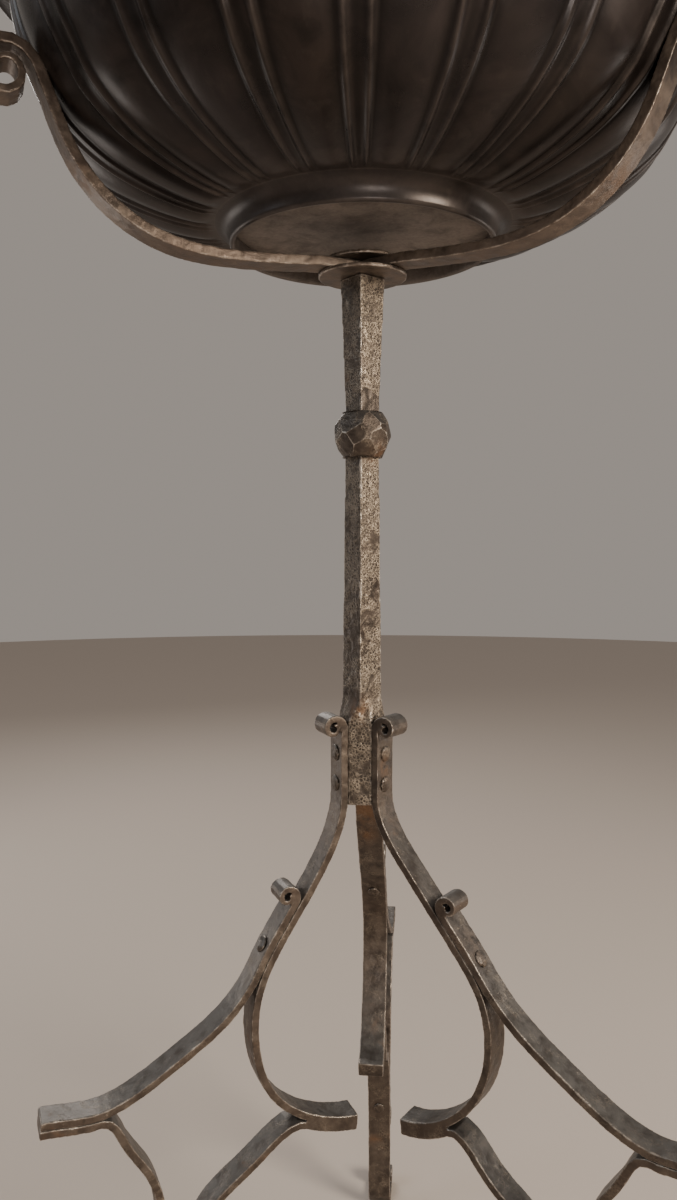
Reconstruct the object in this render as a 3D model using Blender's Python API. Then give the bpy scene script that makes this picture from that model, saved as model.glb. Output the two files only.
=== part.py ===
"""Wrought-iron tripod stand with a footed, fluted basin that lifts out of its cradle.

Units are metres, +Z is up, and the origin is on the floor under the post's centreline.
A leg or an arm is drawn as a path of (distance from the centreline, height) points in
its own upright plane, then swept with a flat bar's section. A plane is (azimuth, how far it
passes beside the centreline). Azimuth 0 faces the front, -Y.
"""
from math import ceil, cos, hypot, pi, radians, sin

import bmesh
import bpy
import numpy as np
from mathutils import Vector

GAP = 0.0003

# Flat bar stock
STRAP_WIDTH = 0.022
STRAP_THICK = 0.006
ARM_WIDTH = 0.022
ARM_THICK = 0.0075
STEP = 0.0085

# The three sides: the planes of their arms and their legs
ARM_PLANES = {"left": (-60, 0.0), "right": (60, 0.0), "rear": (183, 0.0)}
LEG_PLANES = {"left": (-60, 0.0), "right": (60, 0.0), "rear": (180, -0.004)}

# How each hand-forged leg differs: how far it stands out, how much higher its bends sit,
# and how near the centreline its inner tip comes
LEG_SHAPES = {
    "left": {"reach": -0.013, "lift": -0.005, "inner_tip": 0.008},
    "right": {"reach": 0.013, "lift": 0.006, "inner_tip": 0.045},
    "rear": {"reach": -0.006, "lift": 0.0, "inner_tip": 0.050},
}
REACH_SPAN = 0.160
LIFT_ENDS = (0.020, 0.170)

# Post: a square bar set corner to the front, dressed to six sides where the legs are riveted
POST_TOP = 0.8942
POST_FOOT = 0.4800
POST_SECTIONS = [(0.5640, 0.0159), (0.7500, 0.0137), (0.8000, 0.0137), (0.8750, 0.0166),
                 (POST_TOP, 0.0176)]
FLAT_RADIUS = 0.0165
FLAT_TOP = 0.5460
TENON_RADIUS = 0.0080
TENON_HEAD_RADIUS = 0.0125
TENON_HEAD_HEIGHT = 0.0050

# Knob on the post
KNOB_HEIGHT = 0.7730
KNOB_RINGS = [(-0.0176, 0.0172), (-0.0110, 0.0215), (0.0, 0.0230), (0.0110, 0.0215), (0.0176, 0.0172)]
KNOB_SIDES = 16
KNOB_HOLE = 0.0142

# Hub plate and cradle arms
HUB_RADIUS = 0.0348
HUB_THICK = 0.0030
HUB_EDGE = 0.0006
WASHER_RADIUS = 0.0300
WASHER_THICK = 0.0030
ARM_POINTS = [(0.0500, 0.9005), (0.1000, 0.8972), (0.1430, 0.8993), (0.1720, 0.9083), (0.1995, 0.9272),
              (0.2220, 0.9570), (0.2335, 0.9850)]
ARM_END = (0.2422, 1.0060)
ARM_END_LEAN = 24.0
ARM_CURL = (0.0215, 0.0060, 1.35)
ARM_TIP_THICK = 0.0036
MITRE_GAP = 0.0010

# Legs: curl start radius, end radius, turns
TOP_CURL = (0.0088, 0.0022, 1.25)
SMALL_CURL = (0.0082, 0.0021, 1.22)
CURL_TIP_THICK = 0.0020
CURL_POINTS = 14
BAR_TOP = 0.5425
BAR_LEAVES_POST = 0.4880
BAR_POINTS = [(0.0425, 0.4340), (0.0820, 0.3810), (0.1030, 0.3450), (0.1080, 0.3100), (0.0930, 0.2610)]
INNER_TIP_HEIGHT = 0.2245
OUTER_ARC_FROM = 0.4100
OUTER_ARC_LEAVES = 0.3680
OUTER_ARC_POINTS = [(0.1300, 0.3300), (0.1640, 0.3070), (0.2020, 0.2860), (0.2250, 0.2790)]
OUTER_TIP = (0.2670, 0.2820)
TIP_STACK = 0.036
LOWER_OUTER_POINTS = [(0.2080, 0.2530), (0.1925, 0.2280), (0.1830, 0.2030), (0.1785, 0.1740)]
LOWER_INNER_POINTS = [(0.1080, 0.2100), (0.1400, 0.1870), (0.1600, 0.1570), (0.1715, 0.1160),
                      (0.1765, 0.0680)]
LOWER_STACK = (0.1420, 0.1000)
FOOT_HEEL = (0.1950, STRAP_THICK / 2)
FOOT_FLAT = 0.020
FOOT_CURL = (0.0085, 0.0028, 1.15)

# Rivets
SHANK_RADIUS = 0.0030
RIVET_HEAD_RADIUS = 0.0068
RIVET_HEAD_HEIGHT = 0.0024
RIVET_TAIL_RADIUS = 0.0054
POST_RIVETS = (0.5210, 0.4965)
POST_RIVET_DEPTH = 0.0070
ARC_RIVET = 0.3800
LOWER_RIVET = 0.1210
HOLE_CLEARANCE = 0.002
RIVET_SIDES = 10

# Basin
BASIN_FLUTES = 21
BASIN_SIDES = BASIN_FLUTES * 4
RIB_HEIGHT = 0.0015
BASIN_WALL = 0.0040
FOOT_RING_RADIUS = 0.1035
FOOT_RING_TOP_RADIUS = 0.1110
FOOT_RING_THICK = 0.0045
FOOT_RING_BOTTOM = 0.9160
FOOT_RING_WAIST = (0.1050, 0.0090)
BASIN_MIDDLE = 0.0200
BASIN_BELLY = [(0.0600, 0.9320), (0.1120, 0.9322), (0.1500, 0.9390), (0.1900, 0.9555), (0.2180, 0.9775),
               (0.2335, 1.0015), (0.2435, 1.0215), (0.2505, 1.0410), (0.2550, 1.0640), (0.2590, 1.0860),
               (0.2690, 1.1030), (0.2830, 1.1110)]
RIM_RADIUS = 0.2900
RIM_TOP = 1.1200

IRON = (0.115, 0.088, 0.070, 1.0)
IRON_LIGHT = (0.150, 0.118, 0.095, 1.0)
BASIN_BROWN = (0.040, 0.030, 0.026, 1.0)


def clear_scene():
    for item in list(bpy.data.objects):
        bpy.data.objects.remove(item, do_unlink=True)


def make_material(name, colour, roughness, metallic):
    material = bpy.data.materials.new(name)
    material.use_nodes = True
    shader = material.node_tree.nodes["Principled BSDF"]
    shader.inputs["Base Color"].default_value = colour
    shader.inputs["Roughness"].default_value = roughness
    shader.inputs["Metallic"].default_value = metallic
    return material


def add_object(name, mesh_data, material, smooth_angle=None):
    """Turn a bmesh into a named object with its faces pointing out."""
    bmesh.ops.recalc_face_normals(mesh_data, faces=mesh_data.faces)
    mesh = bpy.data.meshes.new(name)
    mesh_data.to_mesh(mesh)
    mesh_data.free()
    item = bpy.data.objects.new(name, mesh)
    bpy.context.scene.collection.objects.link(item)
    if smooth_angle is not None:
        mesh.shade_smooth()
        mesh.set_sharp_from_angle(angle=radians(smooth_angle))
    if material is not None:
        mesh.materials.append(material)
    return item


def cut(item, cutter):
    """Cut one object away from another with the exact solver."""
    modifier = item.modifiers.new("holes", "BOOLEAN")
    modifier.operation = "DIFFERENCE"
    modifier.solver = "EXACT"
    modifier.object = cutter


def loft(rings, first_cap=True, last_cap=True):
    """Skin a list of equal rings of points, and close its two ends."""
    mesh_data = bmesh.new()
    rows = [[mesh_data.verts.new(point) for point in ring] for ring in rings]
    for low, high in zip(rows, rows[1:]):
        for k in range(len(low)):
            j = (k + 1) % len(low)
            mesh_data.faces.new((low[k], low[j], high[j], high[k]))
    if first_cap:
        mesh_data.faces.new(reversed(rows[0]))
    if last_cap:
        mesh_data.faces.new(rows[-1])
    return mesh_data


def loft_closed(rings):
    """Skin rings that come back round to the first, as on a tube wall or a torus."""
    mesh_data = loft(rings, first_cap=False, last_cap=False)
    mesh_data.verts.ensure_lookup_table()
    count = len(rings[0])
    last = (len(rings) - 1) * count
    for k in range(count):
        j = (k + 1) % count
        corners = (last + k, last + j, j, k)
        mesh_data.faces.new([mesh_data.verts[index] for index in corners])
    return mesh_data


# Paths in an upright plane

def unit(vector):
    return np.array(vector) / hypot(*vector)


def curve_through(points, start, end):
    """Sample the smooth curve through the points that leaves and arrives along start and end."""
    points = np.array(points, float)
    spans = np.hypot(*np.diff(points, axis=0).T)
    slopes = np.diff(points, axis=0) / spans[:, None]
    count = len(points)
    system = np.zeros((count, count))
    right = np.zeros((count, 2))
    system[0, 0] = 1
    system[-1, -1] = 1
    right[0] = unit(start)
    right[-1] = unit(end)
    for k in range(1, count - 1):
        before, after = spans[k - 1], spans[k]
        system[k, k - 1:k + 2] = (after, 2 * (before + after), before)
        right[k] = 3 * (after * slopes[k - 1] + before * slopes[k])
    tangents = np.linalg.solve(system, right)
    path = [points[0]]
    for k, span in enumerate(spans):
        pieces = max(2, ceil(span / STEP))
        for i in range(1, pieces + 1):
            t = i / pieces
            place_part = (2 * t**3 - 3 * t**2 + 1) * points[k] + (3 * t**2 - 2 * t**3) * points[k + 1]
            slope_part = (t**3 - 2 * t**2 + t) * tangents[k] + (t**3 - t**2) * tangents[k + 1]
            path.append(place_part + span * slope_part)
    return np.array(path)


def curl(start, heading, turn, size):
    """Roll on from start into a spiral. turn is 1 to the left of the heading and -1 to the right."""
    first, last, turns = size
    heading = unit(heading)
    side = np.array((-heading[1], heading[0])) * turn
    centre = np.array(start) + first * side
    path = []
    steps = ceil(turns * CURL_POINTS)
    for k in range(1, steps + 1):
        share = k / steps
        angle = turn * share * turns * 2 * pi
        radius = first + (last - first) * share
        arm = -side * radius
        path.append(centre + (arm[0] * cos(angle) - arm[1] * sin(angle),
                              arm[0] * sin(angle) + arm[1] * cos(angle)))
    return np.array(path)


def headings(path):
    """Unit directions along a path, one for each of its points."""
    ahead = np.vstack([path[1:] - path[:-1], path[-1:] - path[-2:-1]])
    behind = np.vstack([path[1:2] - path[:1], path[1:] - path[:-1]])
    ahead /= np.hypot(*ahead.T)[:, None]
    behind /= np.hypot(*behind.T)[:, None]
    both = ahead + behind
    return both / np.hypot(*both.T)[:, None]


def offset(path, distance):
    """The path moved sideways, positive to the left of its direction."""
    ways = headings(path)
    return path + distance * np.column_stack([-ways[:, 1], ways[:, 0]])


def height_at(path, height, falling=True):
    """Index of the first point of a path that has passed a height."""
    for index, point in enumerate(path):
        if (point[1] <= height) if falling else (point[1] >= height):
            return index
    return len(path) - 1


def place(point, plane, sideways=0.0):
    """From an upright plane to the object's own frame."""
    azimuth, aside = plane
    angle = radians(azimuth)
    across = Vector((cos(angle), sin(angle), 0))
    outward = Vector((sin(angle), -cos(angle), 0))
    return outward * point[0] + across * (aside + sideways) + Vector((0, 0, point[1]))


def sweep_bar(name, path, plane, width, thickness, material):
    """A flat bar along a path. thickness is one number for each point."""
    ways = headings(path)
    rings = []
    for point, way, thick in zip(path, ways, thickness):
        normal = np.array((-way[1], way[0])) * thick / 2
        corners = ((1, -1), (1, 1), (-1, 1), (-1, -1))
        rings.append([place(point + side * normal, plane, edge * width / 2) for side, edge in corners])
    return add_object(name, loft(rings), material, smooth_angle=30)


def tapered(path, thick, tip, first=0, last=0):
    """Thickness along a path whose first and last few points thin down to a drawn-out tip."""
    values = np.full(len(path), thick)
    for k in range(first):
        values[k] = tip + (thick - tip) * k / first
    for k in range(last):
        values[-1 - k] = tip + (thick - tip) * k / last
    return values


# Rings round the centreline

def ring(radius_at, height, sides):
    """A level ring of points. radius_at gives the radius for an azimuth in radians."""
    points = []
    for k in range(sides):
        azimuth = 2 * pi * k / sides
        radius = radius_at(azimuth)
        points.append((radius * sin(azimuth), -radius * cos(azimuth), height))
    return points


def circle(radius):
    return lambda azimuth: radius


def square(half_diagonal):
    """A square with a corner to the front."""
    return lambda azimuth: half_diagonal / (abs(sin(azimuth)) + abs(cos(azimuth)))


def hexagon(flat_radius):
    """A hexagon with a flat to the front and one to each leg."""
    return lambda azimuth: flat_radius / cos((azimuth + pi / 6) % (pi / 3) - pi / 6)


# Frame pieces

def make_post(material):
    sides = 12
    head = POST_TOP + HUB_THICK + ARM_THICK + WASHER_THICK + 5 * GAP
    dressed = hexagon(FLAT_RADIUS)
    rings = [ring(dressed, POST_FOOT, sides), ring(dressed, FLAT_TOP, sides)]
    rings += [ring(square(half), height, sides) for height, half in POST_SECTIONS]
    rings += [
        ring(circle(TENON_RADIUS), POST_TOP, sides),
        ring(circle(TENON_RADIUS), head, sides),
        ring(circle(TENON_HEAD_RADIUS), head, sides),
        ring(circle(TENON_HEAD_RADIUS * 0.65), head + TENON_HEAD_HEIGHT, sides),
    ]
    return add_object("post", loft(rings), material)


def make_knob(material):
    """A faceted ball, pierced square to fit the post."""
    hole = square(KNOB_HOLE)
    outside = [ring(circle(radius), KNOB_HEIGHT + rise, KNOB_SIDES) for rise, radius in KNOB_RINGS]
    bottom = KNOB_HEIGHT + KNOB_RINGS[0][0]
    top = KNOB_HEIGHT + KNOB_RINGS[-1][0]
    inside = [ring(hole, top, KNOB_SIDES), ring(hole, bottom, KNOB_SIDES)]
    return add_object("knob", loft_closed(outside + inside), material)


def make_hub_disc(name, radius, low, thick, material):
    """A round plate with a worn lower edge, pierced for the tenon."""
    sides = 24
    high = low + thick
    hole = circle(TENON_RADIUS + GAP)
    rings = [
        ring(circle(radius - HUB_EDGE), low, sides),
        ring(circle(radius), low + HUB_EDGE, sides),
        ring(circle(radius), high, sides),
        ring(hole, high, sides),
        ring(hole, low, sides),
    ]
    return add_object(name, loft_closed(rings), material, smooth_angle=30)


def hub_end(width):
    """Plan outline of an arm's mitred inner end, from one flank round the tenon to the other."""
    mitre = width / 2 / sin(pi / 3)
    across = width / 2
    notch = TENON_RADIUS + GAP
    outline = [(mitre * cos(pi / 3) + MITRE_GAP, -across)]
    for k in range(5):
        angle = radians(-60 + 30 * k)
        outline.append((notch * cos(angle) + MITRE_GAP, notch * sin(angle)))
    outline.append((mitre * cos(pi / 3) + MITRE_GAP, across))
    return outline


def make_arm(side, plane, material):
    """Hub end, cradle curve and end curl. The hub end is a short wedge cut round the tenon."""
    underside = POST_TOP + HUB_THICK + 2 * GAP
    middle = underside + ARM_THICK / 2
    lean = radians(ARM_END_LEAN)
    heading = (sin(lean), cos(lean))
    root = (HUB_RADIUS, middle)
    body = curve_through([root] + ARM_POINTS + [ARM_END], (1, 0), heading)
    scroll = curl(ARM_END, heading, -1, ARM_CURL)
    path = np.vstack([body, scroll])
    thick = tapered(path, ARM_THICK, ARM_TIP_THICK, last=len(scroll))
    ways = headings(path)
    ways[0] = (1, 0)
    wedge = hub_end(ARM_WIDTH)
    mesh_data = bmesh.new()
    rows = []
    for height in (underside, underside + ARM_THICK):
        rows.append([mesh_data.verts.new(place((reach, height), plane, across)) for reach, across in wedge])
    low, high = rows
    ends = []
    for point, way, depth in zip(path, ways, thick):
        normal = np.array((-way[1], way[0])) * depth / 2
        corners = ((-1, -1), (-1, 1), (1, 1), (1, -1))
        ends.append([mesh_data.verts.new(place(point + up * normal, plane, edge * ARM_WIDTH / 2))
                     for up, edge in corners])
    first = ends[0]
    mesh_data.faces.new([low[0]] + low[1:] + [first[1], first[0]])
    mesh_data.faces.new([high[0]] + high[1:] + [first[2], first[3]])
    for k in range(len(low) - 1):
        mesh_data.faces.new((low[k], low[k + 1], high[k + 1], high[k]))
    mesh_data.faces.new((low[0], first[0], first[3], high[0]))
    mesh_data.faces.new((low[-1], first[1], first[2], high[-1]))
    for before, after in zip(ends, ends[1:]):
        for k in range(4):
            j = (k + 1) % 4
            mesh_data.faces.new((before[k], before[j], after[j], after[k]))
    mesh_data.faces.new(ends[-1])
    return add_object(f"arm_{side}", mesh_data, material, smooth_angle=30)


# Legs

def stack_count(path):
    """How many points at the start of a path lie within the length of a forged tip."""
    lengths = np.cumsum(np.hypot(*np.diff(path, axis=0).T))
    return int(np.searchsorted(lengths, TIP_STACK)) + 2


def leg_paths(reach, lift, inner_tip):
    """The four bars of a leg as paths: bar, outer arc, lower outer and lower inner."""
    pitch = STRAP_THICK + GAP

    def shaped(points):
        """Hand-forged difference: this leg's bends move out by reach and up by lift."""
        moved = []
        for radius, height in points:
            below_post = min(1, max(0, (BAR_LEAVES_POST - height) / REACH_SPAN))
            above_floor = min(1, max(0, (height - LIFT_ENDS[0]) / (LIFT_ENDS[1] - LIFT_ENDS[0])))
            moved.append((radius + reach * below_post, height + lift * below_post * above_floor))
        return moved

    face = FLAT_RADIUS + GAP + STRAP_THICK / 2
    top = np.array((face, BAR_TOP))
    leave = np.array((face, BAR_LEAVES_POST))
    top_curl = curl(top, (0, 1), -1, TOP_CURL)
    straight = np.linspace(top, leave, 6)
    tip = (inner_tip, INNER_TIP_HEIGHT + lift)
    bend = curve_through([leave] + shaped(BAR_POINTS) + [tip], (0, -1), (-1, -0.06))
    bar = np.vstack([top_curl[::-1], straight, bend[1:]])

    beside = offset(bar, pitch)
    first = height_at(beside[len(top_curl):], OUTER_ARC_FROM) + len(top_curl)
    leaves = height_at(beside[len(top_curl):], OUTER_ARC_LEAVES + lift) + len(top_curl)
    run = beside[first:leaves + 1]
    small_curl = curl(run[0], run[0] - run[1], -1, SMALL_CURL)
    arc = curve_through([run[-1]] + shaped(OUTER_ARC_POINTS + [OUTER_TIP]), run[-1] - run[-2], (1, 0.03))
    outer_arc = np.vstack([small_curl[::-1], run, arc[1:]])

    heel = np.array((FOOT_HEEL[0] + reach, FOOT_HEEL[1]))
    below_bar = offset(bar, pitch)[::-1]
    tip_run = below_bar[:stack_count(below_bar)]
    toe = heel + (FOOT_FLAT, 0)
    descent = curve_through([tip_run[-1]] + shaped(LOWER_INNER_POINTS) + [heel],
                            tip_run[-1] - tip_run[-2], (1, 0))
    foot = np.linspace(heel, toe, 4)[1:]
    foot_curl = curl(toe, (1, 0), 1, FOOT_CURL)
    lower_inner = np.vstack([tip_run, descent[1:], foot, foot_curl])

    under_arc = offset(outer_arc, -pitch)[::-1]
    outer_run = under_arc[:stack_count(under_arc)]
    beside_lower = offset(lower_inner, pitch)
    start = height_at(beside_lower[len(tip_run) + 2:], LOWER_STACK[0]) + len(tip_run) + 2
    stop = height_at(beside_lower[start:], LOWER_STACK[1]) + start
    lower_run = beside_lower[start:stop + 1]
    inward = curve_through([outer_run[-1]] + shaped(LOWER_OUTER_POINTS) + [lower_run[0]],
                           outer_run[-1] - outer_run[-2], lower_run[1] - lower_run[0])
    end_curl = curl(lower_run[-1], lower_run[-1] - lower_run[-2], 1, SMALL_CURL)
    lower_outer = np.vstack([outer_run, inward[1:], lower_run[1:], end_curl])
    return {
        "bar": (bar, len(top_curl), 0),
        "outer_arc": (outer_arc, len(small_curl), 0),
        "lower_outer": (lower_outer, 0, len(end_curl)),
        "lower_inner": (lower_inner, 0, len(foot_curl)),
    }


def rivet_spots(paths):
    """Centre and outward direction of each rivet, in the leg's plane."""
    face = FLAT_RADIUS + GAP + STRAP_THICK
    spots = {}
    for k, height in enumerate(POST_RIVETS):
        spots[f"post_rivet_{k + 1}"] = ((face, height), (1, 0), STRAP_THICK)
    for name, bar_name, height in (("arc_rivet", "outer_arc", ARC_RIVET),
                                   ("lower_rivet", "lower_outer", LOWER_RIVET)):
        path, skip, _ = paths[bar_name]
        index = height_at(path[skip:], height) + skip
        way = headings(path)[index]
        normal = np.array((-way[1], way[0]))
        if normal[0] < 0:
            normal = -normal
        spots[name] = (path[index] + normal * STRAP_THICK / 2, normal, 2 * STRAP_THICK + GAP)
    return spots


def turned(name, profile, sides, spot, direction, plane, material, smooth_angle=40):
    """A round piece turned about a line in a leg's plane. profile is (radius, distance along)."""
    centre = place(spot, plane)
    along = (place(np.array(spot) + np.array(direction), plane) - centre).normalized()
    spin = along.to_track_quat("Z", "Y").to_matrix()
    angles = [2 * pi * k / sides for k in range(sides)]
    rings = []
    for radius, distance in profile:
        rings.append([centre + spin @ Vector((radius * cos(angle), radius * sin(angle), distance))
                      for angle in angles])
    return add_object(name, loft(rings), material, smooth_angle)


def make_leg(side, plane, paths, post, iron, rivet_iron):
    bars = {}
    for bar_name, (path, first, last) in paths.items():
        thick = tapered(path, STRAP_THICK, CURL_TIP_THICK, first, last)
        bars[bar_name] = sweep_bar(f"leg_{side}_{bar_name}", path, plane, STRAP_WIDTH, thick, iron)
    for rivet_name, (spot, direction, grip) in rivet_spots(paths).items():
        in_post = rivet_name.startswith("post")
        head = [(RIVET_HEAD_RADIUS, GAP), (RIVET_HEAD_RADIUS * 0.86, RIVET_HEAD_HEIGHT * 0.62),
                (RIVET_HEAD_RADIUS * 0.45, RIVET_HEAD_HEIGHT)]
        if in_post:
            tail = [(SHANK_RADIUS, -grip - POST_RIVET_DEPTH)]
            reach_in = grip + POST_RIVET_DEPTH + GAP
        else:
            tail = [(RIVET_TAIL_RADIUS * 0.6, -grip - GAP - RIVET_HEAD_HEIGHT * 0.8),
                    (RIVET_TAIL_RADIUS, -grip - GAP - RIVET_HEAD_HEIGHT * 0.35),
                    (RIVET_TAIL_RADIUS, -grip - GAP), (SHANK_RADIUS, -grip - GAP)]
            reach_in = grip + HOLE_CLEARANCE
        profile = tail + [(SHANK_RADIUS, GAP)] + head
        turned(f"leg_{side}_{rivet_name}", profile, RIVET_SIDES, spot, direction, plane, rivet_iron)
        bore = [(SHANK_RADIUS + GAP, -reach_in), (SHANK_RADIUS + GAP, HOLE_CLEARANCE)]
        hole = turned(f"hole_{side}_{rivet_name}", bore, RIVET_SIDES, spot, direction, plane, None)
        hole.hide_render = True
        hole.display_type = "WIRE"
        if in_post:
            pieces = (bars["bar"], post)
        elif rivet_name == "arc_rivet":
            pieces = (bars["bar"], bars["outer_arc"])
        else:
            pieces = (bars["lower_inner"], bars["lower_outer"])
        for piece in pieces:
            cut(piece, hole)


# Basin

def fluted(radius):
    """A radius that rises into a rib at the middle of each flute group."""
    return lambda azimuth: radius + RIB_HEIGHT * max(0, cos(azimuth * BASIN_FLUTES))


def wall_lean(index):
    """How the wall's inward normal splits between level and upright, at one point of the belly."""
    before = BASIN_BELLY[max(0, index - 1)]
    after = BASIN_BELLY[min(len(BASIN_BELLY) - 1, index + 1)]
    run = after[0] - before[0]
    rise = after[1] - before[1]
    length = hypot(run, rise)
    return rise / length, run / length


def make_basin(material):
    """An open shell: out along the belly, round the rolled rim and back down the inside."""
    sides = BASIN_SIDES
    outside = [(BASIN_MIDDLE, BASIN_BELLY[0][1])] + BASIN_BELLY
    inside = []
    for index in reversed(range(len(BASIN_BELLY))):
        radius, height = BASIN_BELLY[index]
        inward, upward = wall_lean(index)
        inside.append((radius - BASIN_WALL * inward, height + BASIN_WALL * upward))
    inside.append((BASIN_MIDDLE, outside[0][1] + BASIN_WALL))
    rings = []
    for radius, height in outside:
        ribbed = BASIN_BELLY[1][0] < radius < BASIN_BELLY[-2][0]
        rings.append(ring(fluted(radius) if ribbed else circle(radius), height, sides))
    lip = RIM_TOP - BASIN_BELLY[-1][1]
    rings.append(ring(circle(RIM_RADIUS), RIM_TOP - lip * 0.75, sides))
    rings.append(ring(circle(RIM_RADIUS), RIM_TOP - lip * 0.25, sides))
    rings.append(ring(circle(RIM_RADIUS - lip * 0.3), RIM_TOP, sides))
    rings.append(ring(circle(RIM_RADIUS - lip * 0.9), RIM_TOP, sides))
    rings += [ring(circle(radius), height, sides) for radius, height in inside]
    return add_object("basin_bowl", loft(rings), material, smooth_angle=35)


def make_foot_ring(material):
    sides = BASIN_SIDES
    top = BASIN_BELLY[0][1] - GAP
    thick = FOOT_RING_THICK
    waist, rise = FOOT_RING_WAIST
    rings = [
        ring(circle(FOOT_RING_RADIUS - thick), FOOT_RING_BOTTOM, sides),
        ring(circle(FOOT_RING_RADIUS), FOOT_RING_BOTTOM, sides),
        ring(circle(waist), FOOT_RING_BOTTOM + rise, sides),
        ring(circle(FOOT_RING_TOP_RADIUS), top, sides),
        ring(circle(waist - thick), top, sides),
    ]
    return add_object("basin_foot_ring", loft_closed(rings), material, smooth_angle=35)


def main():
    clear_scene()
    iron = make_material("wrought_iron", IRON, 0.55, 0.85)
    light_iron = make_material("wrought_iron_worn", IRON_LIGHT, 0.5, 0.85)
    basin_brown = make_material("basin_patina", BASIN_BROWN, 0.35, 0.8)
    post = make_post(iron)
    make_knob(iron)
    make_hub_disc("hub_plate", HUB_RADIUS, POST_TOP + GAP, HUB_THICK, iron)
    washer_low = POST_TOP + HUB_THICK + ARM_THICK + 3 * GAP
    make_hub_disc("hub_washer", WASHER_RADIUS, washer_low, WASHER_THICK, iron)
    for side, shape in LEG_SHAPES.items():
        make_arm(side, ARM_PLANES[side], iron)
        paths = leg_paths(shape["reach"], shape["lift"], shape["inner_tip"])
        make_leg(side, LEG_PLANES[side], paths, post, iron, light_iron)
    make_basin(basin_brown)
    make_foot_ring(basin_brown)


main()
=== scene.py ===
"""Looks for the wrought-iron tripod stand and its fluted basin.

Every iron piece is forged anew from its CAD node: the node is meshed finely, its edges are
worn round and its faces hammered. The basin is drawn again with its lobes and pairs of ribs.
"""

from math import cos, pi, radians, sin

import bmesh
import bpy
import numpy as np
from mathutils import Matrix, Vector, noise


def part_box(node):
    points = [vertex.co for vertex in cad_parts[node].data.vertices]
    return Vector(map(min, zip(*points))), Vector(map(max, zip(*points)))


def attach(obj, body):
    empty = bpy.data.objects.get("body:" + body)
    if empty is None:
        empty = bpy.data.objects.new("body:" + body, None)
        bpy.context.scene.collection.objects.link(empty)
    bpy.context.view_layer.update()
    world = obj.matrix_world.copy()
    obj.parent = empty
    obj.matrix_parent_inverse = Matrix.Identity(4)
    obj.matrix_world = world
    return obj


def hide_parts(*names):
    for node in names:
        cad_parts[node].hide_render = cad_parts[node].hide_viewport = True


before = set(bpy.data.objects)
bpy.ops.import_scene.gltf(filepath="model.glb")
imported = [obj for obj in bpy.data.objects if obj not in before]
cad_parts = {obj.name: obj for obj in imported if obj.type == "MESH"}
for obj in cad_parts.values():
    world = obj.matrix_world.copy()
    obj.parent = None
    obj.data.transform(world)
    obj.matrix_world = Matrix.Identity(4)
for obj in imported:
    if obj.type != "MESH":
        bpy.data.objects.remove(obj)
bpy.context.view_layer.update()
scene = bpy.context.scene

MM = 0.001
SIDES = ("left", "right", "rear")
LEG_RIVETS = ("post_rivet_1", "post_rivet_2", "arc_rivet", "lower_rivet")

# Camera: near the stand, a little to its right and a little below the knob
CAMERA_AZIMUTH = 5.0
CAMERA_DISTANCE = 0.72
CAMERA_HEIGHT = 0.688
CAMERA_PITCH = -3.62
CAMERA_YAW = 1.5
CAMERA_LENS = 47.86

# Room, and the lights as name, place, target, size, power and colour
WORLD_COLOUR = (0.62, 0.555, 0.50, 1)
WORLD_STRENGTH = 0.52
FLOOR_COLOUR = (0.52, 0.46, 0.41, 1)
FLOOR_ROUGHNESS = 0.85
FLOOR_RADIUS = 6
LIGHTS = (
    ("key", (1.6, -0.9, 1.25), (0, 0, 0.6), 0.8, 46, (1.0, 0.88, 0.74)),
    ("fill", (-2.0, -0.6, 1.7), (0, 0, 0.5), 1.2, 11, (0.84, 0.92, 1.0)),
    ("low", (0.5, -1.9, 0.35), (0, 0, 0.9), 0.5, 8, (1.0, 0.93, 0.86)),
    ("back", (-0.9, 1.8, 1.9), (0, 0, 0.7), 1.2, 18, (1.0, 0.95, 0.9)),
    ("back_left", (-1.7, 0.9, 0.40), (0, 0, 0.95), 0.7, 3.5, (1.0, 0.95, 0.9)),
    ("back_right", (1.7, 1.0, 0.40), (0, 0, 0.95), 0.7, 3.5, (1.0, 0.93, 0.86)),
)

# Iron colours. The first four are lightened or darkened for each kind of piece, and their much
# lighter copy on the arms and hub discs is partly painted light.
IRON_DARK = (0.040, 0.0315, 0.0260)
IRON_BROWN = (0.092, 0.0730, 0.0580)
IRON_STAIN = (0.060, 0.043, 0.033)
# grey of dust and painted sheen for the faces that look up
IRON_SHEEN_GREY = (0.105, 0.108, 0.108)
IRON_HOLLOW = (0.014, 0.011, 0.010, 1)
RUST_COLOURS = ((0.110, 0.052, 0.026, 1), (0.280, 0.150, 0.072, 1))
TAN_COLOURS = ((0.25, 0.200, 0.150, 1), (0.56, 0.470, 0.360, 1))
# light colours of bare metal and of painted highlight along edges and ridges
BARE_AND_HIGHLIGHT_COLOURS = ((0.30, 0.255, 0.215, 1), (0.68, 0.615, 0.540, 1))
IRON_METALLIC = 0.72

# Basin colours
PATINA_DARK = (0.0130, 0.0098, 0.0085, 1)
PATINA_BROWN = (0.0340, 0.0250, 0.0215, 1)
PATINA_GREY = (0.036, 0.031, 0.033, 1)
PATINA_STREAK = (0.060, 0.048, 0.042, 1)
# rubbed metal and painted highlight on the ribs
PATINA_RUB_AND_HIGHLIGHT = (0.092, 0.078, 0.070, 1)
# painted shade for the grooves
PATINA_GROOVE_SHADE = (0.0060, 0.0048, 0.0044, 1)
# colours of dust and of painted bounce light under the basin
DUST_AND_BOUNCE_COLOURS = ((0.120, 0.100, 0.086, 1), (0.300, 0.255, 0.220, 1))

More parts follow.
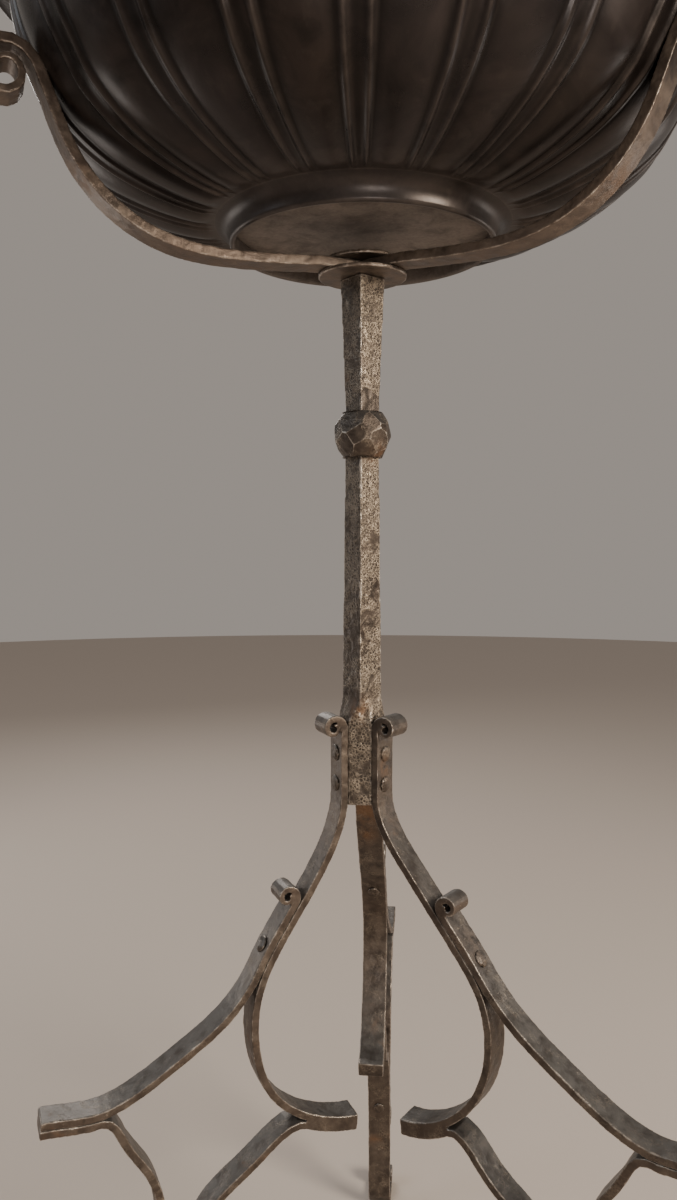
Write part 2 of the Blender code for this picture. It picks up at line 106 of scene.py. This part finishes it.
# Places where rust has taken hold, each with its reach
RUST_SPOTS = (
    ((0.0, 0.020, 0.466), 16 * MM),
    ((0.012, 0.016, 0.475), 12 * MM),
    ((0.0, 0.030, 0.440), 9 * MM),
    ((0.024, -0.014, 0.511), 8 * MM),
    ((0.100, -0.058, 0.400), 16 * MM),
    ((0.014, -0.008, 0.757), 8 * MM),
    ((0.000, -0.017, 0.556), 9 * MM),
    ((-0.195, -0.112, 0.930), 15 * MM),
    ((0.178, -0.103, 0.915), 12 * MM),
)

# Hammering, as shares of the size of a dent
DENT_REACH = 0.8
RIPPLE_SIZE = 0.55
GRAIN_SIZE = 0.19

# Knob: how many facets, how deep they lie as a share of its radius, and the zone round its hole
KNOB_FACETS = 30
FACET_DEPTH = 0.915
FACET_WOBBLE = 0.11
FACET_NOISE = 3.1
KNOB_HOLE_REACH = 0.0162

# Flutes of the basin, in degrees round it: each pair of ribs lies between grooves and lobes
FLUTES = 21
FIRST_FLUTE = 4.0
RIB_OFFSET = 2.05
RIB_HALF_WIDTH = 0.72
RIB_RISE = 2.3 * MM
GROOVE_OFFSET = 3.4
GROOVE_HALF_WIDTH = 0.75
MIDDLE_GROOVE_HALF_WIDTH = 0.8
LOBE_RISE = 2.8 * MM
LOBE_FULLNESS = 0.8
RIB_ZONE = 4.0
RIB_STEP = 0.25
LOBE_STEP = 0.76

# The flutes start outside the foot ring and end inside the rim, and fade in and out
FLUTE_START = 4 * MM
FLUTE_START_FADE = 12 * MM
FLUTE_END = 12 * MM
FLUTE_END_FADE = 10 * MM

# Shell and rim of the basin
WALL = 3.2 * MM
SHELL_STEP = 2.2 * MM
LIP_WIDTH = 8 * MM
RIM_ROLL = 4.4 * MM
RIM_STEPS = 14
RIM_FROM = -100
RIM_SWEEP = 250
INSIDE_MIDDLE = 15 * MM

# Foot ring: its profiles in millimetres out from its radius and up from its underside
FOOT_RADIUS = 103.5 * MM
FOOT_OUTSIDE = ((-1.6, 0.2), (-0.2, 1.6), (0.5, 6.0), (2.2, 10.4), (5.8, 14.2), (10.5, 16.2),
                (16.5, 17.4))
FOOT_OUTSIDE_STEP = 1.4
FOOT_INSIDE = ((-2.6, 16.2), (-4.2, 11.5), (-4.5, 3.0), (-3.4, 0.3))
FOOT_INSIDE_STEP = 1.6
FOOT_TURN_STEP = 1.5

# Dust, bare metal and painted bounce light under the basin
DUST_AND_LIGHT_FADE = 12 * MM
DUST_AND_LIGHT_SPILL = 22 * MM
DUST_AND_LIGHT_HEIGHT = 2.5 * MM
DUST_AND_LIGHT_OUTSIDE = 0.35
DUST_AND_LIGHT_HIGH = 0.4
FOOT_DUST_AND_LIGHT_OUTSIDE = 0.12
FOOT_DUST_AND_LIGHT_INSIDE = 0.7


# Camera, floor and light

def add_camera():
    azimuth = radians(CAMERA_AZIMUTH)
    place = Vector((CAMERA_DISTANCE * sin(azimuth), -CAMERA_DISTANCE * cos(azimuth), CAMERA_HEIGHT))
    heading = azimuth + radians(CAMERA_YAW)
    data = bpy.data.cameras.new("camera")
    data.sensor_fit = "HORIZONTAL"
    data.sensor_width = 36.0
    data.lens = CAMERA_LENS
    data.clip_start = 0.01
    camera = bpy.data.objects.new("camera", data)
    camera.rotation_euler = (radians(90 + CAMERA_PITCH), 0, heading)
    camera.location = place
    scene.collection.objects.link(camera)
    scene.camera = camera


def add_area_light(name, place, target, size, power, colour):
    data = bpy.data.lights.new(name, "AREA")
    data.shape = "DISK"
    data.size = size
    data.energy = power
    data.color = colour
    light = bpy.data.objects.new(name, data)
    light.location = place
    light.rotation_euler = (Vector(target) - Vector(place)).to_track_quat("-Z", "Y").to_euler()
    scene.collection.objects.link(light)


def add_studio():
    world = bpy.data.worlds.new("studio")
    world.use_nodes = True
    background = world.node_tree.nodes["Background"]
    background.inputs["Color"].default_value = WORLD_COLOUR
    background.inputs["Strength"].default_value = WORLD_STRENGTH
    scene.world = world
    for light in LIGHTS:
        add_area_light(*light)

    bpy.ops.mesh.primitive_circle_add(vertices=96, radius=FLOOR_RADIUS, fill_type="NGON")
    floor = bpy.context.object
    floor.name = "floor"
    floor.data.materials.append(plain_material("studio_floor", FLOOR_COLOUR, FLOOR_ROUGHNESS))


# Material nodes

def plain_material(name, colour, roughness):
    material = bpy.data.materials.new(name)
    material.use_nodes = True
    shader = material.node_tree.nodes["Principled BSDF"]
    shader.inputs["Base Color"].default_value = colour
    shader.inputs["Roughness"].default_value = roughness
    return material


class Graph:
    """Short ways to add and wire the nodes of one material."""

    def __init__(self, name):
        self.material = bpy.data.materials.new(name)
        self.material.use_nodes = True
        self.tree = self.material.node_tree
        self.shader = self.tree.nodes["Principled BSDF"]
        self.place = self.add("ShaderNodeTexCoord").outputs["Object"]

    def add(self, kind, **settings):
        node = self.tree.nodes.new(kind)
        for key, value in settings.items():
            setattr(node, key, value)
        return node

    def feed(self, socket, value):
        if isinstance(value, bpy.types.NodeSocket):
            self.tree.links.new(value, socket)
        else:
            socket.default_value = value

    def stretched(self, scale):
        node = self.add("ShaderNodeMapping")
        self.feed(node.inputs["Vector"], self.place)
        node.inputs["Scale"].default_value = scale
        return node.outputs["Vector"]

    def noise(self, scale, detail=3.0, roughness=0.55, distortion=0.0, vector=None):
        node = self.add("ShaderNodeTexNoise")
        self.feed(node.inputs["Vector"], vector or self.place)
        node.inputs["Scale"].default_value = scale
        node.inputs["Detail"].default_value = detail
        node.inputs["Roughness"].default_value = roughness
        node.inputs["Distortion"].default_value = distortion
        return node.outputs["Fac"]

    def cells(self, scale, vector):
        """How far each point is from the edge of its cell."""
        node = self.add("ShaderNodeTexVoronoi", feature="DISTANCE_TO_EDGE")
        self.feed(node.inputs["Vector"], vector)
        node.inputs["Scale"].default_value = scale
        return node.outputs["Distance"]

    def warped(self, scale, reach):
        """The place, pushed about by up to reach so that cells lose their straight sides."""
        push = self.add("ShaderNodeTexNoise")
        self.feed(push.inputs["Vector"], self.place)
        push.inputs["Scale"].default_value = scale
        move = self.add("ShaderNodeVectorMath", operation="MULTIPLY_ADD")
        self.feed(move.inputs[0], push.outputs["Color"])
        move.inputs[1].default_value = (reach, reach, reach)
        self.feed(move.inputs[2], self.place)
        return move.outputs["Vector"]

    def attribute(self, name):
        return self.add("ShaderNodeAttribute", attribute_name=name).outputs["Fac"]

    def steps(self, value, low, high, out_low=0.0, out_high=1.0):
        """value from low to high becomes out_low to out_high, held at both ends."""
        node = self.add("ShaderNodeMapRange", interpolation_type="SMOOTHSTEP")
        self.feed(node.inputs["Value"], value)
        node.inputs["From Min"].default_value = low
        node.inputs["From Max"].default_value = high
        node.inputs["To Min"].default_value = out_low
        node.inputs["To Max"].default_value = out_high
        return node.outputs["Result"]

    def math(self, operation, one, two):
        node = self.add("ShaderNodeMath", operation=operation)
        self.feed(node.inputs[0], one)
        self.feed(node.inputs[1], two)
        return node.outputs["Value"]

    def times(self, one, two):
        return self.math("MULTIPLY", one, two)

    def mix(self, share, one, two):
        node = self.add("ShaderNodeMix", data_type="RGBA")
        self.feed(node.inputs["Factor"], share)
        self.feed(node.inputs["A"], one)
        self.feed(node.inputs["B"], two)
        return node.outputs["Result"]

    def facing(self, axis):
        """How far a face looks along X, Y or Z, from -1 to 1."""
        split = self.add("ShaderNodeSeparateXYZ")
        self.feed(split.inputs["Vector"], self.add("ShaderNodeNewGeometry").outputs["Normal"])
        return split.outputs[axis]

    def bump(self, height, strength, distance):
        node = self.add("ShaderNodeBump")
        self.feed(node.inputs["Height"], height)
        node.inputs["Strength"].default_value = strength
        node.inputs["Distance"].default_value = distance
        self.feed(self.shader.inputs["Normal"], node.outputs["Normal"])


def lit(colour, light):
    """A colour made lighter or darker, with full alpha."""
    return tuple(part * light for part in colour) + (1,)


def iron_material(name, flecks, rust, light, sheen=0.6, shy=1.0):
    """Hand-forged iron. flecks and rust say how much tan wear and how much rust it carries.

    light lightens the iron, and its high value on the arms and hub discs is partly painted light.
    sheen is how strongly dust and a painted grey sheen cover the faces that look up, and shy is how
    much of the tan wear is left on the faces that look to the left, which paints shade on that side.
    """
    g = Graph(name)
    wear_and_highlight = g.attribute("wear_and_highlight")
    relief = g.attribute("relief")
    broad = g.noise(13, 3)
    middle = g.noise(85, 4, 0.6)
    fine = g.noise(460, 4, 0.65)

    # Dark iron with brown clouds and stains, and a grey of dust and painted sheen on the faces that
    # look up
    colour = g.mix(g.steps(middle, 0.30, 0.70), lit(IRON_DARK, light), lit(IRON_BROWN, light))
    colour = g.mix(g.steps(broad, 0.38, 0.66, 0.0, 0.5), colour, lit(IRON_STAIN, light))
    dust_and_painted_light = g.times(g.steps(g.facing("Z"), 0.15, 0.85), g.steps(middle, 0.25, 0.6, 0.4, 1.0))
    colour = g.mix(g.times(dust_and_painted_light, sheen), colour, lit(IRON_SHEEN_GREY, light))

    # Rust in patches and at the rust spots
    patches = g.steps(g.noise(19, 4, 0.6, 0.6), 0.68 - 0.14 * rust, 0.82 - 0.14 * rust)
    stained = g.math("MAXIMUM", patches, g.attribute("rust"))
    rusted = g.times(stained, g.steps(middle, 0.36, 0.58))
    colour = g.mix(g.times(rusted, 0.7), colour, g.mix(fine, *RUST_COLOURS))

    # Tan wear: a net of veins and specks, in patches and on the high places
    cells = g.cells(400, g.warped(900, 1.6 * MM))
    vein = g.math("SUBTRACT", 1.0, g.steps(cells, 0.02, 0.26))
    patch = g.steps(g.noise(54, 6, 0.70, 0.9), 0.56 - 0.19 * flecks, 0.70 - 0.15 * flecks)
    specks = g.steps(g.noise(380, 5, 0.72), 0.60 - 0.07 * flecks, 0.70 - 0.05 * flecks)
    worn = g.times(g.math("MAXIMUM", g.times(vein, 0.8 * flecks), specks), patch)
    worn = g.times(worn, g.steps(relief, 0.25, 0.60, 0.45, 1.0))
    # Faces that look to the left keep only shy of this tan wear: painted shade on the side away from
    # the key light
    worn = g.times(worn, g.steps(g.facing("X"), -0.4, 0.3, shy, 1.0))
    colour = g.mix(g.times(worn, 0.40 + 0.50 * flecks), colour, g.mix(fine, *TAN_COLOURS))

    # Bare metal and painted highlight along edges and ridges, and dark hollows
    edge = g.times(g.steps(wear_and_highlight, 0.30, 0.90), g.steps(g.noise(90, 5, 0.7), 0.42, 0.60, 0.15, 1.0))
    colour = g.mix(g.times(edge, 0.85), colour, g.mix(fine, *BARE_AND_HIGHLIGHT_COLOURS))
    colour = g.mix(g.steps(relief, 0.04, 0.30, 0.5, 0.0), colour, IRON_HOLLOW)

    g.feed(g.shader.inputs["Base Color"], colour)
    g.shader.inputs["Metallic"].default_value = IRON_METALLIC
    roughness = g.math("SUBTRACT", g.steps(middle, 0.3, 0.7, 0.36, 0.52), g.times(edge, 0.10))
    roughness = g.math("ADD", roughness, g.times(rusted, 0.25))
    g.feed(g.shader.inputs["Roughness"], roughness)
    surface = g.math("ADD", g.times(fine, 0.4), g.times(worn, 0.25 + 0.5 * flecks))
    g.bump(g.math("ADD", surface, middle), 0.75, 0.55 * MM)
    return g.material


def basin_material():
    """Near-black brown patina with painted shade in its grooves, lighter ribs that are rubbed and
    painted with a highlight, and a soft grey of dust and painted bounce light low on the belly.
    """
    g = Graph("basin_patina")
    ribs = g.attribute("wear_and_highlight")
    dust_and_painted_light = g.attribute("dust_and_painted_light")
    broad = g.noise(7, 3, 0.5)
    cloud = g.noise(26, 5, 0.6, 0.8)
    fine = g.noise(340, 4, 0.6)
    streak = g.noise(70, 4, 0.6, 0.3, g.stretched((1, 1, 0.16)))

    colour = g.mix(g.steps(cloud, 0.32, 0.70), PATINA_DARK, PATINA_BROWN)
    colour = g.mix(g.times(g.steps(broad, 0.42, 0.66), 0.5), colour, PATINA_GREY)
    colour = g.mix(g.times(g.steps(streak, 0.56, 0.72), 0.30), colour, PATINA_STREAK)
    # The ribs are lighter: rubbed metal and a painted highlight
    rubbed_and_highlit = g.times(g.steps(ribs, 0.35, 1.0), g.steps(cloud, 0.35, 0.6, 0.3, 1.0))
    colour = g.mix(g.times(rubbed_and_highlit, 0.40), colour, PATINA_RUB_AND_HIGHLIGHT)
    # Painted shade in the grooves beside and between the ribs
    colour = g.mix(g.times(g.attribute("painted_groove_shade"), 0.55), colour, PATINA_GROOVE_SHADE)
    # Dust and painted bounce light: lighter, rougher and less metallic inside the foot ring and low
    # on the belly
    dusty_and_lit = g.times(dust_and_painted_light, g.steps(g.noise(48, 5, 0.65, 0.5), 0.30, 0.62, 0.45, 1.0))
    colour = g.mix(g.times(dusty_and_lit, 0.85), colour, g.mix(fine, *DUST_AND_BOUNCE_COLOURS))

    g.feed(g.shader.inputs["Base Color"], colour)
    g.feed(g.shader.inputs["Metallic"], g.steps(dust_and_painted_light, 0.2, 0.8, 0.6, 0.1))
    roughness = g.steps(cloud, 0.25, 0.75, 0.25, 0.40)
    g.feed(g.shader.inputs["Roughness"], g.math("ADD", roughness, g.times(dust_and_painted_light, 0.30)))
    g.shader.inputs["Specular IOR Level"].default_value = 0.45
    g.bump(g.math("ADD", cloud, g.times(fine, 0.30)), 0.35, 0.6 * MM)
    return g.material


# Meshes as arrays

def vertex_places(mesh):
    places = np.empty(len(mesh.vertices) * 3)
    mesh.vertices.foreach_get("co", places)
    return places.reshape(-1, 3)


def vertex_normals(mesh):
    normals = np.empty(len(mesh.vertices) * 3)
    mesh.vertices.foreach_get("normal", normals)
    return normals.reshape(-1, 3)


def set_places(mesh, places):
    mesh.vertices.foreach_set("co", places.ravel())
    mesh.update()


def edge_ends(mesh):
    ends = np.empty(len(mesh.edges) * 2, int)
    mesh.edges.foreach_get("vertices", ends)
    return ends.reshape(-1, 2)


def neighbour_mean(points, ends):
    """For each point, the mean of the points that an edge joins it to."""
    total = np.zeros(points.shape)
    number = np.zeros(len(points))
    for a, b in (ends.T, ends.T[::-1]):
        np.add.at(total, a, points[b])
        np.add.at(number, a, 1)
    return total / np.maximum(number, 1)[:, None]


def convexity(mesh, rounds, full):
    """How sharply the surface bulges at each vertex, from 0 (flat or hollow) to 1."""
    places = vertex_places(mesh)
    ends = edge_ends(mesh)
    far = places
    for _ in range(rounds):
        far = neighbour_mean(far, ends)
    bulge = np.einsum("ij,ij->i", places - far, vertex_normals(mesh))
    return np.clip(bulge / full, 0, 1)


def store(mesh, name, values):
    """Keep one number per vertex, for the materials to read."""
    layer = mesh.attributes.new(name, "FLOAT", "POINT")
    layer.data.foreach_set("value", values.astype(np.float32))


# Forged iron

def joined(nodes):
    """One mesh that holds the meshes of several CAD nodes."""
    shapes = bmesh.new()
    for node in nodes:
        shapes.from_mesh(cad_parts[node].data)
    bmesh.ops.remove_doubles(shapes, verts=shapes.verts, dist=0.01 * MM)
    mesh = bpy.data.meshes.new(nodes[0])
    shapes.to_mesh(mesh)
    shapes.free()
    return mesh


def refined(name, nodes, voxel, rounds):
    """A fine even mesh of CAD nodes with sharp edges worn round. Nodes that touch are welded."""
    item = bpy.data.objects.new(name, joined(nodes))
    scene.collection.objects.link(item)
    remesh = item.modifiers.new("remesh", "REMESH")
    remesh.mode = "VOXEL"
    remesh.voxel_size = voxel
    smooth = item.modifiers.new("smooth", "SMOOTH")
    smooth.factor = 0.5
    smooth.iterations = rounds
    depsgraph = bpy.context.evaluated_depsgraph_get()
    mesh = bpy.data.meshes.new_from_object(item.evaluated_get(depsgraph))
    item.modifiers.clear()
    item.data = mesh
    mesh.shade_smooth()
    return item


def hammer_depth(place, cell, dent, ripple, grain):
    """Depth of hammering at a point: wide dents, an uneven ripple and a fine scale."""
    near = noise.voronoi(place / cell)[0]
    depth = dent * (min(near[0], DENT_REACH) / DENT_REACH - 0.5)
    depth += ripple * noise.noise(place / (cell * RIPPLE_SIZE))
    depth += grain * noise.noise(place / (cell * GRAIN_SIZE))
    return depth


def rust_at(places):
    """How strongly each point is stained by the rust spots near it."""
    most = np.zeros(len(places))
    for spot, reach in RUST_SPOTS:
        away = np.linalg.norm(places - np.array(spot), axis=1) / reach
        most = np.maximum(most, np.exp(-away ** 2))
    return most


def forge(name, nodes, material, voxel=0.65 * MM, rounds=5, cell=12 * MM, dent=0.20 * MM,
          ripple=0.25 * MM, grain=0.07 * MM, shape=None, ridge=0.40 * MM):
    """Make one visible iron piece in place of its CAD nodes.

    cell is the size of a hammer dent. dent, ripple and grain are depths. shape moves the points
    before the hammering, and ridge is the bulge that counts as a fully worn, fully highlighted edge.
    """
    item = refined(name, nodes, voxel, rounds)
    mesh = item.data
    places = vertex_places(mesh)
    if shape is not None:
        places = shape(places)
        set_places(mesh, places)
    normals = vertex_normals(mesh)
    seed = Vector((sum(map(ord, name)) % 97, len(name), 0)) * cell
    points = [Vector(place) + seed for place in places]
    depth = np.array([hammer_depth(point, cell, dent, ripple, grain) for point in points])
    set_places(mesh, places + normals * depth[:, None])
    store(mesh, "wear_and_highlight", convexity(mesh, 5, ridge))
    store(mesh, "rust", rust_at(places))
    store(mesh, "relief", np.clip(0.5 + depth / (dent + ripple + grain), 0, 1))
    mesh.materials.append(material)
    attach(item, "stand")
    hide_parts(*nodes)


def faceted(centre, reach, count, hole):
    """A shaper that hammers flat facets on to a ball. Each facet is a plane just inside its skin.

    Points nearer the upright axis than hole are left alone.
    """
    golden = pi * (3 - 5 ** 0.5)
    planes = []
    for k in range(count):
        level = 1 - 2 * (k + 0.5) / count
        turn = golden * k
        across = (1 - level * level) ** 0.5
        planes.append((across * cos(turn), across * sin(turn), level))
    planes = np.array(planes)
    wobble = np.array([noise.noise(Vector(plane) * FACET_NOISE) for plane in planes])
    depths = reach * (FACET_DEPTH + FACET_WOBBLE * wobble)

    def shape(places):
        local = places - centre
        over = (local @ planes.T) / depths
        most = over.max(axis=1)
        outside = np.hypot(local[:, 0], local[:, 1]) > hole
        share = np.where(outside & (most > 1), 1 / most, 1)
        local[:, :2] *= share[:, None]
        return centre + local
    return shape


def add_stand():
    post_iron = iron_material("post_iron", flecks=1.0, rust=0.3, light=0.95, shy=0.45)
    knob_iron = iron_material("knob_iron", flecks=0.6, rust=0.5, light=1.1)
    bar_iron = iron_material("bar_iron", flecks=0.42, rust=0.35, light=1.45)
    # The arms and hub discs take a much lighter copy of the iron: partly their polished metal,
    # partly painted light from below and from the room
    arm_iron = iron_material("arm_iron", flecks=0.25, rust=0.2, light=2.2, sheen=0.3)
    rivet_iron = iron_material("rivet_iron", flecks=0.5, rust=0.5, light=1.3)
    forge("post_forged", ["post"], post_iron, voxel=1.0 * MM, rounds=3, cell=9 * MM,
          dent=0.30 * MM, ripple=0.34 * MM, grain=0.16 * MM)
    low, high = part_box("knob")
    radius = (high.x - low.x) / 2
    knob_shape = faceted(np.array((low + high) / 2), radius, KNOB_FACETS, KNOB_HOLE_REACH)
    forge("knob_forged", ["knob"], knob_iron, voxel=0.5 * MM, rounds=2, cell=8 * MM,
          dent=0.12 * MM, ripple=0.14 * MM, grain=0.06 * MM, shape=knob_shape, ridge=0.17 * MM)
    for disc in ("hub_plate", "hub_washer"):
        forge(disc + "_forged", [disc], arm_iron, rounds=2, dent=0.1 * MM,
              ripple=0.12 * MM)
    for side in SIDES:
        leg = f"leg_{side}_"
        forge(f"arm_{side}_forged", [f"arm_{side}"], arm_iron)
        forge(leg + "scroll_and_foot", [leg + "bar", leg + "lower_inner"], bar_iron)
        forge(leg + "outer_arc_forged", [leg + "outer_arc"], bar_iron)
        forge(leg + "lower_outer_forged", [leg + "lower_outer"], bar_iron)
        for rivet in LEG_RIVETS:
            forge(f"{leg}{rivet}_forged", [leg + rivet], rivet_iron, voxel=0.5 * MM,
                  rounds=2, cell=5 * MM, dent=0.25 * MM, ripple=0.3 * MM)


# Basin

def outline(node):
    """The outer profile of a turned CAD node, as (radius, height) from the bottom up."""
    places = vertex_places(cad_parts[node].data)
    heights = np.round(places[:, 2], 5)
    radii = np.hypot(places[:, 0], places[:, 1])
    points = []
    for height in np.unique(heights):
        radius = float(np.median(radii[heights == height]))
        if not points or radius > points[-1][0] + MM:
            points.append((radius, float(height)))
    return points


def smooth_line(points, step):
    """A Catmull-Rom curve through the points, sampled about every step."""
    points = np.array(points)
    padded = np.vstack([2 * points[0] - points[1], points, 2 * points[-1] - points[-2]])
    line = [points[0]]
    for before, start, end, after in zip(padded, padded[1:], padded[2:], padded[3:]):
        pieces = max(1, round(float(np.hypot(*(end - start))) / step))
        for k in range(1, pieces + 1):
            t = k / pieces
            square = (2 * before - 5 * start + 4 * end - after) * t**2
            cube = (3 * start - before - 3 * end + after) * t**3
            line.append(0.5 * (2 * start + (end - before) * t + square + cube))
    return np.array(line)


def line_normals(line):
    """The unit outward normal at each point of a profile that runs up the outside."""
    ways = np.gradient(line, axis=0)
    ways /= np.hypot(*ways.T)[:, None]
    return np.column_stack([ways[:, 1], -ways[:, 0]])


def flute_angles():
    """Azimuths in degrees, close together over each pair of ribs and wider over the lobes."""
    pitch = 360 / FLUTES
    lobe = pitch / 2 - RIB_ZONE
    in_zone = np.linspace(-RIB_ZONE, RIB_ZONE, round(2 * RIB_ZONE / RIB_STEP) + 1)
    count = round(2 * lobe / LOBE_STEP)
    in_lobe = RIB_ZONE + 2 * lobe * np.arange(1, count) / count
    group = np.concatenate([in_zone, in_lobe])
    return np.concatenate([FIRST_FLUTE + pitch * k + group for k in range(FLUTES)])


def flute_rise(angles):
    """How far the wall stands out at each azimuth, where its ribs are, and where painted shade
    darkens its grooves.
    """
    pitch = 360 / FLUTES
    away = (angles - FIRST_FLUTE + pitch / 2) % pitch - pitch / 2
    ribs = np.exp(-((np.abs(away) - RIB_OFFSET) / RIB_HALF_WIDTH) ** 2)
    side_groove_shade = np.exp(-((np.abs(away) - GROOVE_OFFSET) / GROOVE_HALF_WIDTH) ** 2)
    groove_shade = side_groove_shade + np.exp(-(away / MIDDLE_GROOVE_HALF_WIDTH) ** 2)
    lobes = np.clip((np.abs(away) - GROOVE_OFFSET) / (pitch / 2 - GROOVE_OFFSET), 0, 1)
    rise = LOBE_RISE * (np.sin(lobes * pi / 2) ** LOBE_FULLNESS) + RIB_RISE * ribs
    return rise, ribs, groove_shade


def turned_mesh(name, rows, closed):
    """Skin rows of points that run round the centreline. closed joins the last row to the first."""
    count = len(rows[0])
    places = np.vstack(rows)
    faces = []
    last = len(rows) if closed else len(rows) - 1
    for i in range(last):
        a = i * count
        b = ((i + 1) % len(rows)) * count
        for k in range(count):
            j = (k + 1) % count
            faces.append((a + k, a + j, b + j, b + k))
    if not closed:
        faces.append(tuple(reversed(range(count))))
        faces.append(tuple(range((len(rows) - 1) * count, len(rows) * count)))
    mesh = bpy.data.meshes.new(name)
    mesh.from_pydata([tuple(place) for place in places], [], faces)
    mesh.validate()
    mesh.shade_smooth()
    item = bpy.data.objects.new(name, mesh)
    scene.collection.objects.link(item)
    return item


def row(radius, height, angles):
    """Points round the centreline. radius and height are one number, or one for each angle."""
    turns = np.radians(angles)
    heights = np.broadcast_to(height, turns.shape)
    return np.column_stack([radius * np.sin(turns), -radius * np.cos(turns), heights])


def ease(share):
    return share * share * (3 - 2 * share)


def basin_dust_and_light(places, foot_radius):
    """Where dust, bare metal and painted bounce light show: inside the foot ring, and faintly just
    outside it.
    """
    radii = np.hypot(places[:, 0], places[:, 1])
    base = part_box("basin_bowl")[0].z
    inside = np.clip((foot_radius - radii) / DUST_AND_LIGHT_FADE, 0, 1)
    outside = DUST_AND_LIGHT_OUTSIDE * np.exp(-np.maximum(radii - foot_radius, 0) / DUST_AND_LIGHT_SPILL)
    under = places[:, 2] < base + DUST_AND_LIGHT_HEIGHT
    return np.where(under, np.maximum(inside, outside * (radii > foot_radius)), outside * DUST_AND_LIGHT_HIGH)


def add_basin(material):
    """The fluted shell: flat middle, ribbed belly, rolled rim and plain inside."""
    angles = flute_angles()
    rise, ribs, groove_shade = flute_rise(angles)
    foot_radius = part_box("basin_foot_ring")[1].x
    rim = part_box("basin_bowl")[1]
    profile = [point for point in outline("basin_bowl") if point[0] < rim.x - LIP_WIDTH]
    line = smooth_line(profile, SHELL_STEP)
    normals = line_normals(line)
    rows = []
    rib_rows = []
    groove_shade_rows = []
    for (radius, height), (out, up) in zip(line, normals):
        begins = np.clip((radius - foot_radius - FLUTE_START) / FLUTE_START_FADE, 0, 1)
        ends = np.clip((rim.x - FLUTE_END - radius) / FLUTE_END_FADE, 0, 1)
        fade = ease(begins) * ease(ends)
        lift = rise * fade
        rows.append(row(radius + out * lift, height + up * lift, angles))
        rib_rows.append(ribs * fade)
        groove_shade_rows.append(groove_shade * fade)
    for k in range(RIM_STEPS + 1):
        turn = radians(RIM_FROM + RIM_SWEEP * k / RIM_STEPS)
        radius = rim.x - RIM_ROLL + RIM_ROLL * cos(turn)
        height = rim.z - RIM_ROLL + RIM_ROLL * sin(turn)
        rows.append(row(radius, height, angles))
    for radius, height in (line - normals * WALL)[::-3]:
        rows.append(row(max(radius, INSIDE_MIDDLE), height, angles))

    item = turned_mesh("basin_shell", rows, closed=False)
    mesh = item.data
    plain = np.zeros((len(rows) - len(line)) * len(angles))
    store(mesh, "wear_and_highlight", np.concatenate(rib_rows + [plain]))
    store(mesh, "painted_groove_shade", np.concatenate(groove_shade_rows + [plain]))
    store(mesh, "dust_and_painted_light", basin_dust_and_light(vertex_places(mesh), foot_radius))
    mesh.materials.append(material)
    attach(item, "basin")
    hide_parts("basin_bowl")


def add_foot_ring(material):
    """The foot ring, worn round at its lower edge and filleted where it meets the shell."""
    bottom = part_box("basin_foot_ring")[0].z
    angles = np.arange(0, 360, FOOT_TURN_STEP)
    profile = np.vstack([smooth_line(FOOT_OUTSIDE, FOOT_OUTSIDE_STEP),
                         smooth_line(FOOT_INSIDE, FOOT_INSIDE_STEP)])
    rows = []
    for out, up in profile:
        rows.append(row(FOOT_RADIUS + out * MM, bottom + up * MM, angles))
    item = turned_mesh("basin_foot", rows, closed=True)
    # The inside of the foot ring gets far more dust and painted bounce light than its outside
    dust_and_painted_light = np.where(np.arange(len(rows)) < len(rows) / 2, FOOT_DUST_AND_LIGHT_OUTSIDE, FOOT_DUST_AND_LIGHT_INSIDE)
    store(item.data, "wear_and_highlight", convexity(item.data, 2, 0.5 * MM))
    store(item.data, "dust_and_painted_light", np.repeat(dust_and_painted_light, len(angles)))
    item.data.materials.append(material)
    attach(item, "basin")
    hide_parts("basin_foot_ring")


def main():
    add_camera()
    add_studio()
    add_stand()
    patina = basin_material()
    add_basin(patina)
    add_foot_ring(patina)


main()
